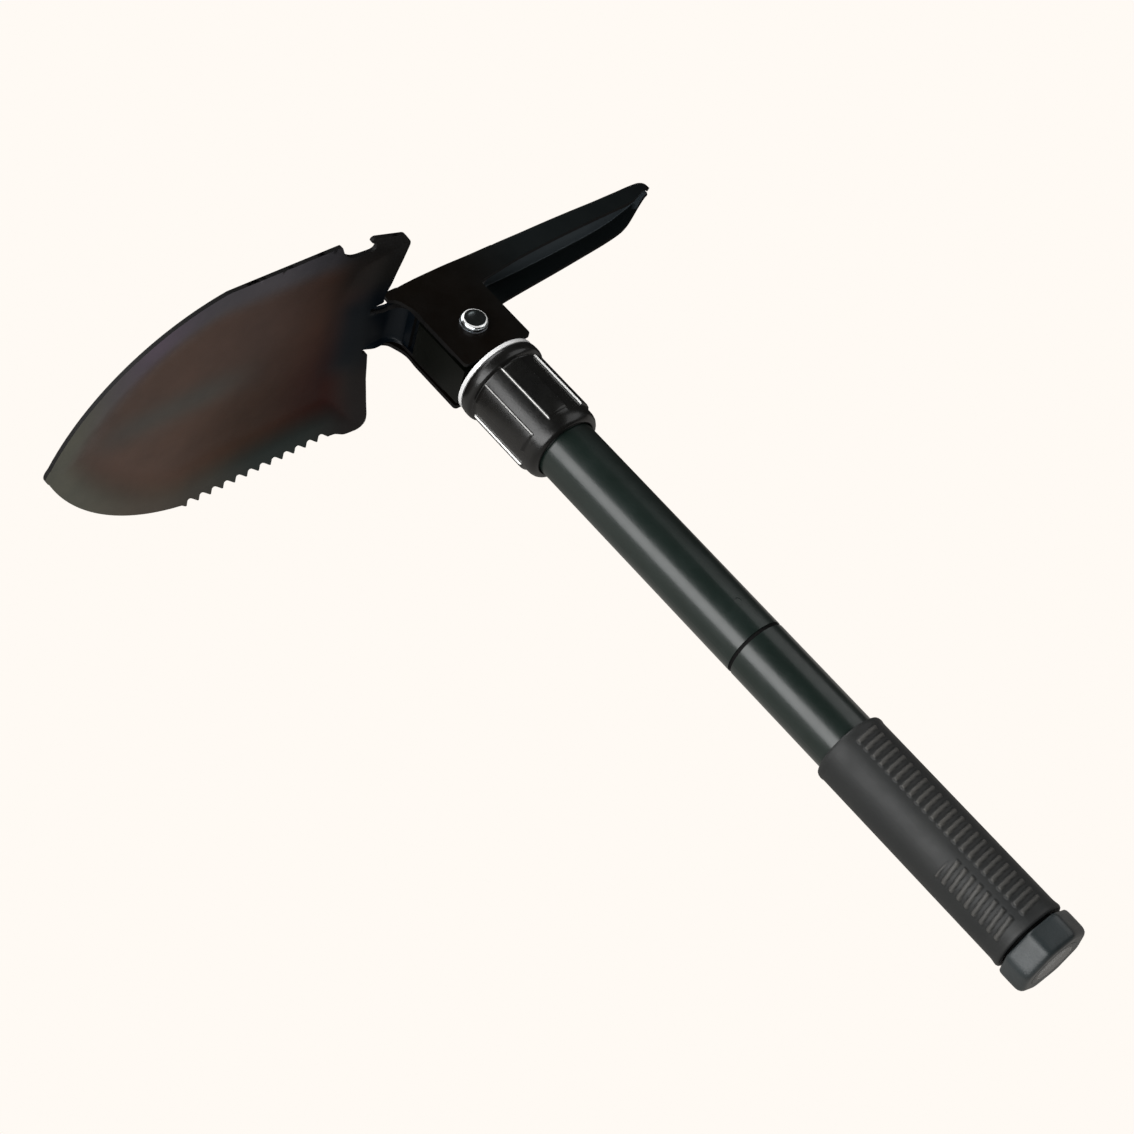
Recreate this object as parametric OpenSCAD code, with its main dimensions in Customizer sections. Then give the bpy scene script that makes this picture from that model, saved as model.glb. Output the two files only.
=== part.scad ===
// Folding camp shovel: blade and pick on one rivet, screw-locked by a collar.
// Built in the mechanism frame (pivot at the origin, +Z away from the grip, +X the
// blade's direction, +Y the rivet) and laid on its side by place().

/* [Handle] */
// Outside diameter of the upper tube
tube_d = 22; // [20:0.5:24]
// Outside diameter of the lower tube
lower_tube_d = 22; // [20:0.5:24]
// Distance from the pivot to the handle joint
joint_depth = 147.3; // [130:1:170]
// Distance from the pivot to the top of the grip
grip_depth = 191.8; // [180:1:200]
// Distance from the pivot to the bottom of the grip
grip_end_depth = 273.3; // [265:1:280]
// Distance from the pivot to the end cap's flat face
butt_depth = 284; // [282:1:290]
// Outside diameter of the grip
grip_d = 27; // [26:0.5:30]
// Across-corner diameter of the faceted end cap
cap_d = 28; // [27:0.5:31]

/* [Head] */
// Distance from the pivot to each locking flat
flat_reach = 13.5; // [13:0.1:14]
// Largest radius of a corner that turns past the collar
swing_r = 14.6; // [14.2:0.1:14.7]
// Distance from the pivot to the thrust washer
washer_depth = 14.9; // [14.8:0.1:16]
// Thickness of the thrust washer
washer_t = 1.4; // [1:0.1:2]
// Outside diameter of the collar's plain band
collar_d = 32.3; // [31:0.1:34]
// Distance from the pivot to the collar's lower end
collar_end_depth = 52.6; // [50:0.5:56]
// Number of raised bars on the collar
collar_bars = 6; // [4:1:8]

/* [Blade] */
// Distance from the pivot to the blade's point
blade_reach = 153.2; // [145:1:160]
// Greatest half width of the blade
blade_half_w = 52.4; // [48:0.5:56]
// Height of the middle of the blade above the pivot
blade_crown = 27; // [26.5:0.1:27.2]
// Radius of the blade's dish across its width
dish_r = 420; // [350:10:600]
// Sheet thickness of the blade
sheet = 1.5; // [1.2:0.1:1.6]
// Number of saw teeth
teeth = 13; // [8:1:13]

/* [Pick] */
// Distance from the pivot to the pick's point
pick_reach = 105.4; // [100:0.2:108]
// Outside half width of the pick and its ears
pick_half_w = 11.4; // [11.2:0.1:12]

/* [Hidden] */
$fn = 96;
run_gap = 0.06;
black = [0.06, 0.06, 0.07];
tube_r = tube_d / 2;
lower_tube_r = lower_tube_d / 2;
tube_wall = 1.2;
tube_bore_r = tube_r - tube_wall;
rivet_r = 3;
bush_r = 4;
hole_r = rivet_r + run_gap;
ear_in = 8.2;
ear_out = 9.65;
pick_in = 9.85;
yoke_half_t = 8;
yoke_front = 14.2;
stem_r = 12.5;
stem_end = 38;
pick_web_top = 26.3;
pick_web_start = 28.6;
pick_tip_top = 28.6;
pick_edge_x = 14.2;
neck_half_w = ear_out;
neck_pocket_x = 27.5;
neck_under = 22.3;
neck_bend_r = 5.8;
neck_bend_x = 19;
nose_r = 83.3;
nose_y = nose_r - blade_half_w;
nose_x = blade_reach - sqrt(nose_r * nose_r - nose_y * nose_y);
shoulder_x = 89;
saw_pitch = 5.05;
saw_start = 33.7;
saw_line = 51.3;
tooth_depth = 3.4;
gullet_r = 0.75;
pin_depth = 32;
pin_r = 1.5;
pin_len = 3;
nut_pin_r = 1.2;
nut_pin_depth = joint_depth - 12;
barb_r = 0.45;
thread_pitch = 2.5;
thread_r = 0.5;
collar_r = collar_d / 2;
collar_top = washer_depth + washer_t + 0.02;
joint_washer_t = 1.3;
stud_r = 7;
cap_thread_r = 8;
rib_pitch = 3.3;
rib_turn = 68.4;
rib_span = 38;
cap_turn = 102.4;
compass_r = 9;

// Turns the mechanism frame into the part's own frame, with the butt face at X = 0.
module place() {
    translate([butt_depth, 0, 0]) rotate([90, 0, 90]) children();
}

// A disc or rod along the handle, from one depth to another.
module rod(r, from, to) {
    translate([0, 0, -to]) cylinder(r = r, h = to - from);
}

// A round-ended sleeve along the handle.
module sleeve(r, bore, from, to) {
    difference() {
        rod(r, from, to);
        rod(bore, from - 1, to + 1);
    }
}

// A plate in the mechanism's XZ plane, between two distances along +Y.
module side_plate(y0, y1) {
    translate([0, y1, 0]) rotate([90, 0, 0]) linear_extrude(y1 - y0) children();
}

// Both plates of a mirrored pair.
module both_sides() {
    children();
    mirror([0, 1, 0]) children();
}

// A bore through everything along the rivet.
module rivet_bore(r) {
    rotate([90, 0, 0]) cylinder(r = r, h = 60, center = true);
}

// Height of the blade's edge at a distance along it, on the curved nose.
function nose_edge(x) = sqrt(nose_r * nose_r - (x - nose_x) * (x - nose_x)) - nose_y;

// Points of the curved nose, from the wide shoulder to the point.
function nose_points(side) = [
    for (i = [0 : 24])
        let (x = shoulder_x + (blade_reach - 1 - shoulder_x) * sin(90 * i / 24))
        [x, side * nose_edge(x)]
];

// Reverses a list of points.
function reversed(list) = [for (i = [len(list) - 1 : -1 : 0]) list[i]];

// The blade's outline: hook side above, saw side below, neck on the left.
module blade_outline() {
    difference() {
        polygon(concat(
            [[neck_pocket_x, -neck_half_w], [neck_pocket_x, -neck_half_w - 2.2],
             [22, -neck_half_w - 2.2], [22, -16], [19.4, -40], [18.6, -47],
             [19.2, -51.5], [22, -53.6], [26, -53.6], [29, -52.6], [saw_start, -saw_line]],
            [[shoulder_x, -saw_line]], nose_points(-1), reversed(nose_points(1)),
            [[45, 49.2], [43.8, 48.2], [42.4, 44.6], [40, 42.2], [36.5, 41], [31, 40.4],
             [29.6, 41.2], [29.2, 42.6], [30.2, 43.9], [31.6, 45], [31.8, 46.2], [30.4, 46.7],
             [24, 44.7], [18.5, 42.5], [15.6, 40.6], [14, 38.2], [13.6, 36], [15.2, 29.6],
             [17.9, 21], [20.4, neck_half_w + 5.6], [20.2, neck_half_w + 2.2],
             [neck_pocket_x, neck_half_w + 2.2], [neck_pocket_x, neck_half_w]]));
        for (i = [1 : teeth - 1])
            translate([saw_start + i * saw_pitch, -saw_line]) saw_gullet();
    }
}

// Space between two teeth: steep behind the leading tooth, sloping to the one before,
// with a rounded root.
module saw_gullet() {
    polygon([[0, -1], [0, 0], [-0.3, tooth_depth - gullet_r], [-1.4, tooth_depth - 0.4],
             [0.1 - saw_pitch, 0], [0.1 - saw_pitch, -1]]);
    translate([-0.3 - gullet_r, tooth_depth - gullet_r]) circle(gullet_r);
}

// The dished sheet that the blade is cut from: a cylinder that ends in a ball at the nose.
module blade_dish(r) {
    translate([0, 0, blade_crown - dish_r]) {
        rotate([0, 90, 0]) cylinder(r = r, h = shoulder_x + 9, $fn = 180);
        translate([shoulder_x + 9, 0, 0]) sphere(r, $fn = 180);
    }
}

// Side view of a blade ear: three locking flats, with swept corners trimmed round.
module blade_ear_profile() {
    intersection() {
        union() {
            circle(swing_r);
            translate([-20, 4]) square([40, 24]);
        }
        translate([-flat_reach, -flat_reach])
            square([2 * flat_reach, flat_reach + neck_under + sheet]);
    }
}

// Shovel blade with its neck and folded ears.
module blade() {
    color(black) place() difference() {
        union() {
            intersection() {
                difference() {
                    blade_dish(dish_r);
                    blade_dish(dish_r - sheet);
                }
                translate([0, 0, 15]) linear_extrude(15) blade_outline();
            }
            side_plate(-neck_half_w, neck_half_w) neck_profile();
            both_sides() side_plate(ear_in, ear_out) blade_ear_profile();
        }
        rivet_bore(hole_r);
    }
}

// Side view of the neck: an apron that bends down in front of the yoke, a level sheet
// over the ears and a ramp up to the blade.
module neck_profile() {
    top = neck_under + sheet;
    translate([neck_bend_x, neck_under - neck_bend_r]) intersection() {
        difference() {
            circle(neck_bend_r + sheet);
            circle(neck_bend_r);
        }
        translate([-10, 0]) square([10, 10]);
    }
    polygon([[neck_bend_x - 0.1, neck_under], [22, neck_under], [32, blade_crown - sheet],
             [32, blade_crown], [30.5, blade_crown], [21.5, top], [neck_bend_x - 0.1, top]]);
}

// Side view of a pick ear, with its flange running out to the raised point.
module pick_side_profile() {
    difference() {
        polygon([[14.2, -flat_reach], [14.2, 9], [13.7, 14], [17.2, pick_web_top - 0.4],
                 [-5, pick_web_top], [-72, pick_web_top], [-90, pick_web_top + 0.8],
                 [-pick_reach, pick_tip_top], [-pick_reach, pick_tip_top - 3.4],
                 [-101, 24.4], [-96, 22.2], [-91, 20], [-86, 18.9], [-65, 17.8], [-35, 16.2],
                 [-pick_edge_x, 13.9], [-pick_edge_x, -flat_reach]]);
        // The trailing lower corner turns past the collar, so it is trimmed round.
        difference() {
            translate([-20, -20]) square([20, 20]);
            circle(swing_r);
        }
    }
}

// Side view of the pick's hollow, one wall under its top.
module pick_hollow_profile(wall) {
    polygon([[20, -20], [20, pick_web_top - wall], [-72, pick_web_top - wall],
             [-90, pick_web_top + 0.8 - wall], [-pick_reach, pick_tip_top - wall],
             [-pick_reach, -20]]);
}

// Plan view of the pick, tapering to its point, inset by a wall.
module pick_plan(inset) {
    side = [[18, pick_half_w], [-pick_web_start, pick_half_w], [-50, 10.6], [-78, 8.8],
            [-90, 7.5], [-99, 5.4], [-pick_reach + 1.2 * inset, 2.6]];
    polygon(concat([for (p = side) [p[0], p[1] - inset]],
                   reversed([for (p = side) [p[0], inset - p[1]]])));
}

// Channel-section pick with its two ears.
module pick() {
    wall = pick_half_w - pick_in;
    color(black) place() difference() {
        intersection() {
            side_plate(-pick_half_w, pick_half_w) pick_side_profile();
            translate([0, 0, -20]) linear_extrude(50) pick_plan(0);
        }
        intersection() {
            side_plate(-pick_in, pick_in) pick_hollow_profile(wall);
            translate([0, 0, -20]) linear_extrude(50) pick_plan(wall);
        }
        translate([-pick_web_start, -pick_in, 0]) cube([50, 2 * pick_in, 30]);
        rivet_bore(hole_r);
    }
}

// Side view of the yoke's cheeks: square shoulders below, a rounded barrel in front.
module yoke_profile() {
    difference() {
        union() {
            circle(flat_reach);
            translate([-flat_reach, -flat_reach]) square([flat_reach + yoke_front, flat_reach]);
            translate([0, -1]) square([yoke_front, 14]);
        }
        translate([yoke_front, 13]) rotate(45) square(3, center = true);
    }
}

// Fixed yoke: hollow head with a threaded stem that sleeves over the upper tube.
module yoke() {
    color(black) place() difference() {
        union() {
            side_plate(-yoke_half_t, yoke_half_t) yoke_profile();
            rod(stem_r, flat_reach - 4, stem_end);
        }
        intersection() {
            side_plate(-yoke_half_t + 2, yoke_half_t - 2) circle(flat_reach - 2.2);
            translate([-12, -12, -8]) cube([24, 24, 30]);
        }
        rod(tube_r + 0.02, flat_reach + 3, stem_end + 1);
        for (i = [0 : 8])
            translate([0, 0, -20 - 2 * i]) rotate_extrude()
                translate([stem_r, 0]) circle(barb_r, $fn = 4);
        rivet_bore(bush_r + 0.02);
        cross_pin_bore();
        // Flats beside the ears, so the stem's shoulder stays clear of them.
        both_sides() translate([-20, yoke_half_t, -swing_r - 0.3]) cube([40, 10, 30]);
    }
}

// Rivet with a domed head on the near side and a peened head on the far side.
module pivot_rivet() {
    color("silver") place() union() {
        rotate([90, 0, 0]) cylinder(r = rivet_r, h = 2 * pick_half_w + 1.4, center = true);
        both_sides() translate([0, pick_half_w + 0.35, 0]) rotate([-90, 0, 0]) rivet_head();
    }
}

// One domed rivet head, standing on its seat.
module rivet_head() {
    intersection() {
        cylinder(r = 4.6, h = 2.4);
        translate([0, 0, -3.4]) sphere(5.7);
    }
}

// Bush that lines the hollow yoke around the rivet.
module pivot_bush() {
    color("darkgoldenrod") place() rotate([90, 0, 0]) difference() {
        cylinder(r = bush_r, h = 2 * yoke_half_t - 0.1, center = true);
        cylinder(r = hole_r, h = 40, center = true);
    }
}

// Two spring washers under the rivet's heads.
module pivot_washers() {
    color("silver") place() both_sides() translate([0, pick_half_w + 0.02, 0])
        rotate([-90, 0, 0]) difference() {
            cylinder(r = 4.9, h = 0.3);
            translate([0, 0, -1]) cylinder(r = rivet_r + 0.05, h = 4);
        }
}

// Cross pins that hold the yoke on the upper tube.
module yoke_pins() {
    color("gray") place() for (side = [-1, 1])
        translate([side * (stem_r - pin_len / 2 - 0.2), 0, -pin_depth]) rotate([0, 90, 0])
            cylinder(r = pin_r, h = pin_len, center = true);
}

// Bore for the cross pins.
module cross_pin_bore() {
    translate([0, 0, -pin_depth]) rotate([0, 90, 0])
        cylinder(r = pin_r + 0.02, h = 40, center = true);
}

// Bore for the nut's pins.
module nut_pin_bore() {
    translate([0, 0, -nut_pin_depth]) rotate([90, 0, 0])
        cylinder(r = nut_pin_r + 0.02, h = 40, center = true);
}

// Bright washer between the collar and the ears' flats.
module thrust_washer() {
    color("white") place() sleeve(collar_r - 0.3, stem_r + run_gap, washer_depth,
                                  washer_depth + washer_t);
}

// Screw collar with raised bars.
module locking_collar() {
    color(black) place() difference() {
        union() {
            rod(collar_r, collar_top + 0.8, collar_top + 8.2);
            translate([0, 0, -collar_top - 0.8]) cylinder(r1 = collar_r, r2 = collar_r - 0.8, h = 0.8);
            rod(14.4, collar_top + 8, collar_end_depth - 4);
            translate([0, 0, -collar_end_depth])
                cylinder(r1 = 12.3, r2 = 14.4, h = 4);
            for (i = [0 : collar_bars - 1])
                rotate(20.4 + i * 360 / collar_bars) collar_bar();
        }
        rod(stem_r + run_gap, 0, collar_end_depth - 7);
        rod(tube_r + 0.4, 0, collar_end_depth + 1);
    }
}

// One raised bar, a 30 degree wedge of a ring.
module collar_bar() {
    intersection() {
        rod(15.2, collar_top + 8, collar_end_depth - 3.4);
        translate([0, 0, -60]) linear_extrude(60) polygon([[0, 0], [20, -5.36], [20, 5.36]]);
    }
}

// Upper handle tube.
module upper_tube() {
    color([0.05, 0.07, 0.07]) place() difference() {
        rod(tube_r, flat_reach + 3.2, joint_depth);
        rod(tube_bore_r, flat_reach, joint_depth + 1);
        cross_pin_bore();
        nut_pin_bore();
    }
}

// Threaded nut fixed in the upper tube's lower end.
module coupling_nut() {
    color("gray") place() difference() {
        rod(tube_bore_r - 0.02, joint_depth - 26, joint_depth - 0.2);
        rod(stud_r + run_gap, joint_depth - 30, joint_depth + 1);
        nut_pin_bore();
    }
}

// Pins that hold the nut in the upper tube.
module coupling_pins() {
    color("gray") place() both_sides() translate([0, stud_r + 0.4, -nut_pin_depth])
        rotate([-90, 0, 0]) cylinder(r = nut_pin_r, h = tube_r - stud_r - 0.6);
}

// Seal washer that shows as the dark line at the handle joint.
module joint_washer() {
    color("black") place() sleeve(tube_r - 0.35, stud_r + run_gap, joint_depth + 0.02,
                                  joint_depth + joint_washer_t);
}

// Threaded stud that joins the two halves of the handle.
module coupling_stud() {
    color("gray") place() difference() {
        union() {
            rod(stud_r, joint_depth - 24, joint_depth + joint_washer_t + 2);
            rod(tube_bore_r - 0.02, joint_depth + joint_washer_t + 0.02, joint_depth + 22);
        }
        rod(3.5, joint_depth - 30, joint_depth + 30);
        for (i = [0 : 6])
            translate([0, 0, -joint_depth + 5 + thread_pitch * i]) rotate_extrude()
                translate([stud_r, 0]) circle(thread_r, $fn = 4);
    }
}

// Lower handle tube, which runs down inside the grip.
module lower_tube() {
    color([0.05, 0.07, 0.07]) place() sleeve(lower_tube_r, tube_bore_r,
        joint_depth + joint_washer_t + 0.02, grip_end_depth - 1);
}

// Rubber grip with rows of short ribs and a raised label pad.
module grip_sleeve() {
    color([0.13, 0.13, 0.14]) place() difference() {
        union() {
            rod(grip_d / 2 - 0.6, grip_depth + 0.6, grip_end_depth);
            translate([0, 0, -grip_depth - 0.6])
                cylinder(r1 = grip_d / 2 - 0.6, r2 = grip_d / 2 - 1.2, h = 0.6);
            for (row = [0 : 3], i = [0 : 22])
                translate([0, 0, -grip_depth - 4.2 - rib_pitch * i]) rotate(rib_turn + 90 * row)
                    grip_rib();
        }
        rod(lower_tube_r + 0.02, grip_depth - 1, grip_end_depth + 1);
    }
}

// One short rib across the grip.
module grip_rib() {
    rotate_extrude(angle = rib_span) translate([grip_d / 2 - 1.1, -0.8]) square([1.1, 1.6]);
}

// Threaded seat fixed in the lower tube for the cap.
module cap_seat() {
    color("dimgray") place() sleeve(tube_bore_r - 0.02, cap_thread_r + run_gap,
        grip_end_depth - 20, grip_end_depth - 1);
}

// O-ring between the cap and the seat.
module cap_o_ring() {
    color("black") place() translate([0, 0, -grip_end_depth + 0.1]) rotate_extrude()
        translate([cap_thread_r + 0.9, 0]) circle(0.8);
}

// Faceted screw cap with a threaded spigot and a pocket for the compass.
module end_cap() {
    color([0.1, 0.1, 0.11]) place() difference() {
        union() {
            intersection() {
                rod(cap_d / 2, grip_end_depth + 0.9, butt_depth);
                rotate(cap_turn) rod(cap_d / 2 + 0.5, grip_end_depth, butt_depth, $fn = 8);
            }
            rod(cap_thread_r, grip_end_depth - 12, grip_end_depth + 2);
        }
        rod(cap_thread_r - 1.6, grip_end_depth - 13, grip_end_depth + 1);
        rod(compass_r + 0.02, butt_depth - 7.2, butt_depth + 1);
    }
}

// Brass cup of the compass.
module compass_case() {
    color("darkgoldenrod") place() difference() {
        rod(compass_r, butt_depth - 7.2, butt_depth - 2.22);
        rod(8, butt_depth - 6.4, butt_depth);
    }
}

// Printed dial on the compass's floor.
module compass_dial() {
    color("white") place() difference() {
        rod(7.9, butt_depth - 6.4, butt_depth - 6);
        rod(0.8, butt_depth - 10, butt_depth);
    }
}

// Needle's pivot point.
module compass_pivot() {
    color("silver") place() union() {
        rod(0.7, butt_depth - 6.4, butt_depth - 5);
        rod(0.3, butt_depth - 5.1, butt_depth - 3.9);
    }
}

// Lozenge needle with a cup over the pivot.
module compass_needle() {
    color("firebrick") place() difference() {
        union() {
            translate([0, 0, -butt_depth + 4.2]) linear_extrude(0.5)
                polygon([[6.8, 0], [0, 1.3], [-6.8, 0], [0, -1.3]]);
            rod(1, butt_depth - 4.9, butt_depth - 3.6);
        }
        rod(0.36, butt_depth - 6, butt_depth - 3.84);
    }
}

// Clear stepped lens, flush with the cap's butt face.
module compass_lens() {
    color("lightblue") place() union() {
        rod(compass_r - 0.05, butt_depth - 2.2, butt_depth - 1.22);
        rod(7.2, butt_depth - 1.3, butt_depth);
    }
}

// Ring that holds the lens's step, flush with the butt face.
module compass_ring() {
    color("silver") place() sleeve(compass_r, 7.22, butt_depth - 1.2, butt_depth);
}

blade();
pick();
yoke();
pivot_rivet();
pivot_bush();
pivot_washers();
yoke_pins();
thrust_washer();
locking_collar();
upper_tube();
coupling_nut();
coupling_pins();
joint_washer();
coupling_stud();
lower_tube();
grip_sleeve();
cap_seat();
cap_o_ring();
end_cap();
compass_case();
compass_dial();
compass_pivot();
compass_needle();
compass_lens();
compass_ring();
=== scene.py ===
import math

import bmesh
import bpy
import numpy as np
from mathutils import Matrix, Vector
from mathutils.geometry import delaunay_2d_cdt


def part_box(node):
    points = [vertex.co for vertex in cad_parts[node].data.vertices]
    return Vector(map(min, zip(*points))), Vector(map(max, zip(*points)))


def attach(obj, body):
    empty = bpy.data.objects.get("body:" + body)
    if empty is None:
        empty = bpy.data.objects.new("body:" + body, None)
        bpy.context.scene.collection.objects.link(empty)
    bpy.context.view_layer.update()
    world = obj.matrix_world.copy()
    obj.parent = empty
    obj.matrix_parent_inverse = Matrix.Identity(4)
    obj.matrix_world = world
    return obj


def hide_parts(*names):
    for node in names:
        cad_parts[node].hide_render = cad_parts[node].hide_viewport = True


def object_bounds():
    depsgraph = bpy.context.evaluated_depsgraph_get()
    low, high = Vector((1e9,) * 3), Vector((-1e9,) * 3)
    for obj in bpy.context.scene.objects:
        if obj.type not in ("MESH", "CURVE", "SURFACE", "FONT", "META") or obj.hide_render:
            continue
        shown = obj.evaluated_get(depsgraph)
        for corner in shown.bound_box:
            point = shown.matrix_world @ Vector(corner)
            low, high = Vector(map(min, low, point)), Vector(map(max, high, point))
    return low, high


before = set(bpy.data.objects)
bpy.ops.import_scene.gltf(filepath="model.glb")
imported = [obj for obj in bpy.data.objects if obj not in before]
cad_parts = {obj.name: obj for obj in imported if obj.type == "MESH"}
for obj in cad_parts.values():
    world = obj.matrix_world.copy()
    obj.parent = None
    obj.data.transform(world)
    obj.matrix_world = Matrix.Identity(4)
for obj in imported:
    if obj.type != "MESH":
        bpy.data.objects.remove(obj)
cad_low, cad_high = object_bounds()
MM = 0.001

# The mechanism frame, in mm: origin on the rivet, +x the blade's direction, +y along the
# rivet towards the hook side, +z away from the grip. depth means -z.
rivet_low, rivet_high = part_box("pivot_rivet")
PIVOT = (rivet_low + rivet_high) / 2


def mech(x, y, z):
    """A point of the mechanism frame, in the row frame."""
    return Vector((z * MM + PIVOT.x, x * MM + PIVOT.y, y * MM + PIVOT.z))


def depths(node):
    """Nearest and farthest depth of a CAD node below the rivet, in mm."""
    low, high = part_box(node)
    return (PIVOT.x - high.x) / MM, (PIVOT.x - low.x) / MM


# ---------------------------------------------------------------- small maths
def smooth(t):
    t = min(max(t, 0.0), 1.0)
    return t * t * (3 - 2 * t)


def table(points):
    """A smooth curve through (x, value) points, flat beyond its ends."""
    xs = np.array([p[0] for p in points], float)
    ys = np.array([p[1] for p in points], float)
    slope = np.diff(ys) / np.diff(xs)
    bend = np.zeros(len(xs))
    for i in range(1, len(xs) - 1):
        a, b = slope[i - 1], slope[i]
        bend[i] = 0.0 if a * b <= 0 else 2 * a * b / (a + b)
    bend[0], bend[-1] = slope[0], slope[-1]

    def value(x):
        x = min(max(x, xs[0]), xs[-1])
        i = min(max(int(np.searchsorted(xs, x) - 1), 0), len(xs) - 2)
        h = xs[i + 1] - xs[i]
        t = (x - xs[i]) / h
        return ((2 * t**3 - 3 * t**2 + 1) * ys[i] + (t**3 - 2 * t**2 + t) * h * bend[i]
                + (3 * t**2 - 2 * t**3) * ys[i + 1] + (t**3 - t**2) * h * bend[i + 1])

    return value


ROUND_STEPS = 5
# A corner flatter than this half angle, in degrees, needs no rounding.
FLAT_HALF_ANGLE = 88


def rounded(corners):
    """A closed outline from (x, y, radius) corners, each rounded by its radius."""
    out = []
    count = len(corners)
    for i, (x, y, r) in enumerate(corners):
        here = Vector((x, y))
        if r <= 0:
            out.append(here)
            continue
        to_last = (Vector(corners[i - 1][:2]) - here).normalized()
        to_next = (Vector(corners[(i + 1) % count][:2]) - here).normalized()
        half = to_last.angle(to_next) / 2
        if half > math.radians(FLAT_HALF_ANGLE):
            out.append(here)
            continue
        reach = r / math.tan(half)
        centre = here + (to_last + to_next).normalized() * (r / math.sin(half))
        a, b = here + to_last * reach - centre, here + to_next * reach - centre
        turn = math.atan2(a.x * b.y - a.y * b.x, a.dot(b))
        for k in range(ROUND_STEPS + 1):
            s = turn * k / ROUND_STEPS
            out.append(centre + Vector((a.x * math.cos(s) - a.y * math.sin(s),
                                        a.x * math.sin(s) + a.y * math.cos(s))))
    return out


def arc(cx, cy, r, start, end, steps):
    """Points on an arc, angles in degrees."""
    return [Vector((cx + r * math.cos(math.radians(start + (end - start) * k / steps)),
                    cy + r * math.sin(math.radians(start + (end - start) * k / steps))))
            for k in range(steps + 1)]


# Points of a loop closer together than this are one point.
SAME_POINT = 0.02


def resampled(loop, step):
    """A closed loop with no edge longer than step."""
    out = []
    for i, a in enumerate(loop):
        b = loop[(i + 1) % len(loop)]
        count = max(1, math.ceil((b - a).length / step))
        out += [a.lerp(b, k / count) for k in range(count)]
    clean = [out[0]]
    for p in out[1:]:
        if (p - clean[-1]).length > SAME_POINT:
            clean.append(p)
    if (clean[0] - clean[-1]).length < SAME_POINT:
        clean.pop()
    return clean


def edge_distance(points, loop):
    """Distance of each point from a closed loop."""
    p = np.array([tuple(v) for v in points], float)[:, None, :]
    a = np.array([tuple(v) for v in loop], float)
    b = np.roll(a, -1, axis=0)
    ab = b - a
    t = np.clip(((p - a) * ab).sum(2) / (ab * ab).sum(1), 0, 1)
    return np.sqrt((((a + t[..., None] * ab) - p) ** 2).sum(2)).min(1)


def inside(points, loop):
    """Which points lie inside a closed loop."""
    p = np.array([tuple(v) for v in points], float)
    a = np.array([tuple(v) for v in loop], float)
    b = np.roll(a, -1, axis=0)
    x, y = p[:, None, 0], p[:, None, 1]
    crosses = (a[:, 1] > y) != (b[:, 1] > y)
    with np.errstate(divide="ignore", invalid="ignore"):
        at = a[:, 0] + (y - a[:, 1]) * (b[:, 0] - a[:, 0]) / (b[:, 1] - a[:, 1])
    return (crosses & (x < at)).sum(1) % 2 == 1


# ---------------------------------------------------------------- mesh builders
def mesh_object(name, verts, faces):
    data = bpy.data.meshes.new(name)
    data.from_pydata([tuple(v) for v in verts], [], faces)
    data.validate()
    work = bmesh.new()
    work.from_mesh(data)
    bmesh.ops.remove_doubles(work, verts=work.verts, dist=1e-6)
    bmesh.ops.recalc_face_normals(work, faces=work.faces)
    work.to_mesh(data)
    work.free()
    data.shade_smooth()
    ob = bpy.data.objects.new(name, data)
    bpy.context.scene.collection.objects.link(ob)
    return ob


def lattice(loop, spacing):
    """Staggered points inside a loop's box, closer together where spacing(x, y) is small."""
    xs = [p.x for p in loop]
    ys = [p.y for p in loop]
    out = []
    x = min(xs)
    row = 0
    while x < max(xs):
        step = spacing(x, 0)
        y = min(ys) + (row % 2) * step / 2
        while y < max(ys):
            out.append(Vector((x, y)))
            y += spacing(x, y)
        x += step * 0.87
        row += 1
    return out


def sheet(outline, holes, place_mid, thickness, spacing, edge_step, folds=()):
    """A flat pattern with holes, placed in space by place_mid and thickened both ways.
    folds are open lines that the mesh follows, where the pattern bends."""
    outer = resampled(outline, edge_step)
    inner = [resampled(h, edge_step) for h in holes]
    points, edges = [], []
    for loop in [outer] + inner:
        first = len(points)
        points += loop
        edges += [(first + i, first + (i + 1) % len(loop)) for i in range(len(loop))]
    grid = lattice(outer, spacing)
    keep = inside(grid, outer)
    near = edge_distance(grid, outer)
    for loop in inner:
        keep &= ~inside(grid, loop)
        near = np.minimum(near, edge_distance(grid, loop))
    for line in folds:
        near = np.minimum(near, edge_distance(grid, list(line) + list(line)[-2:0:-1]))
    points += [g for g, k, d in zip(grid, keep, near) if k and d > 0.5 * spacing(g.x, g.y)]
    for line in folds:
        first = len(points)
        points += line
        edges += [(first + i, first + i + 1) for i in range(len(line) - 1)]
    flat, _, tris, _, _, _ = delaunay_2d_cdt(points, edges, [], 0, 1e-6)
    centres = [sum((flat[i] for i in t), Vector((0, 0))) / 3 for t in tris]
    keep = inside(centres, outer)
    for loop in inner:
        keep &= ~inside(centres, loop)
    tris = [t for t, k in zip(tris, keep) if k]
    top, low = [], []
    for p in flat:
        mid, normal = place_mid(p.x, p.y)
        top.append(mid + normal * (thickness / 2))
        low.append(mid - normal * (thickness / 2))
    count = len(flat)
    faces = [tuple(t) for t in tris] + [tuple(i + count for i in reversed(t)) for t in tris]
    sides = {}
    for t in tris:
        for a, b in ((t[0], t[1]), (t[1], t[2]), (t[2], t[0])):
            sides[(a, b)] = True
    faces += [(b, a, a + count, b + count) for a, b in sides if (b, a) not in sides]
    return top + low, faces


def joined(*parts):
    """One vertex and face list from several."""
    verts, faces = [], []
    for v, f in parts:
        first = len(verts)
        verts += list(v)
        faces += [tuple(i + first for i in face) for face in f]
    return verts, faces


def slope_normal(place, x, y, h=0.04):
    """Unit normal of a placed sheet by central differences."""
    du = place(x + h, y) - place(x - h, y)
    dv = place(x, y + h) - place(x, y - h)
    return du.cross(dv).normalized()


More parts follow.
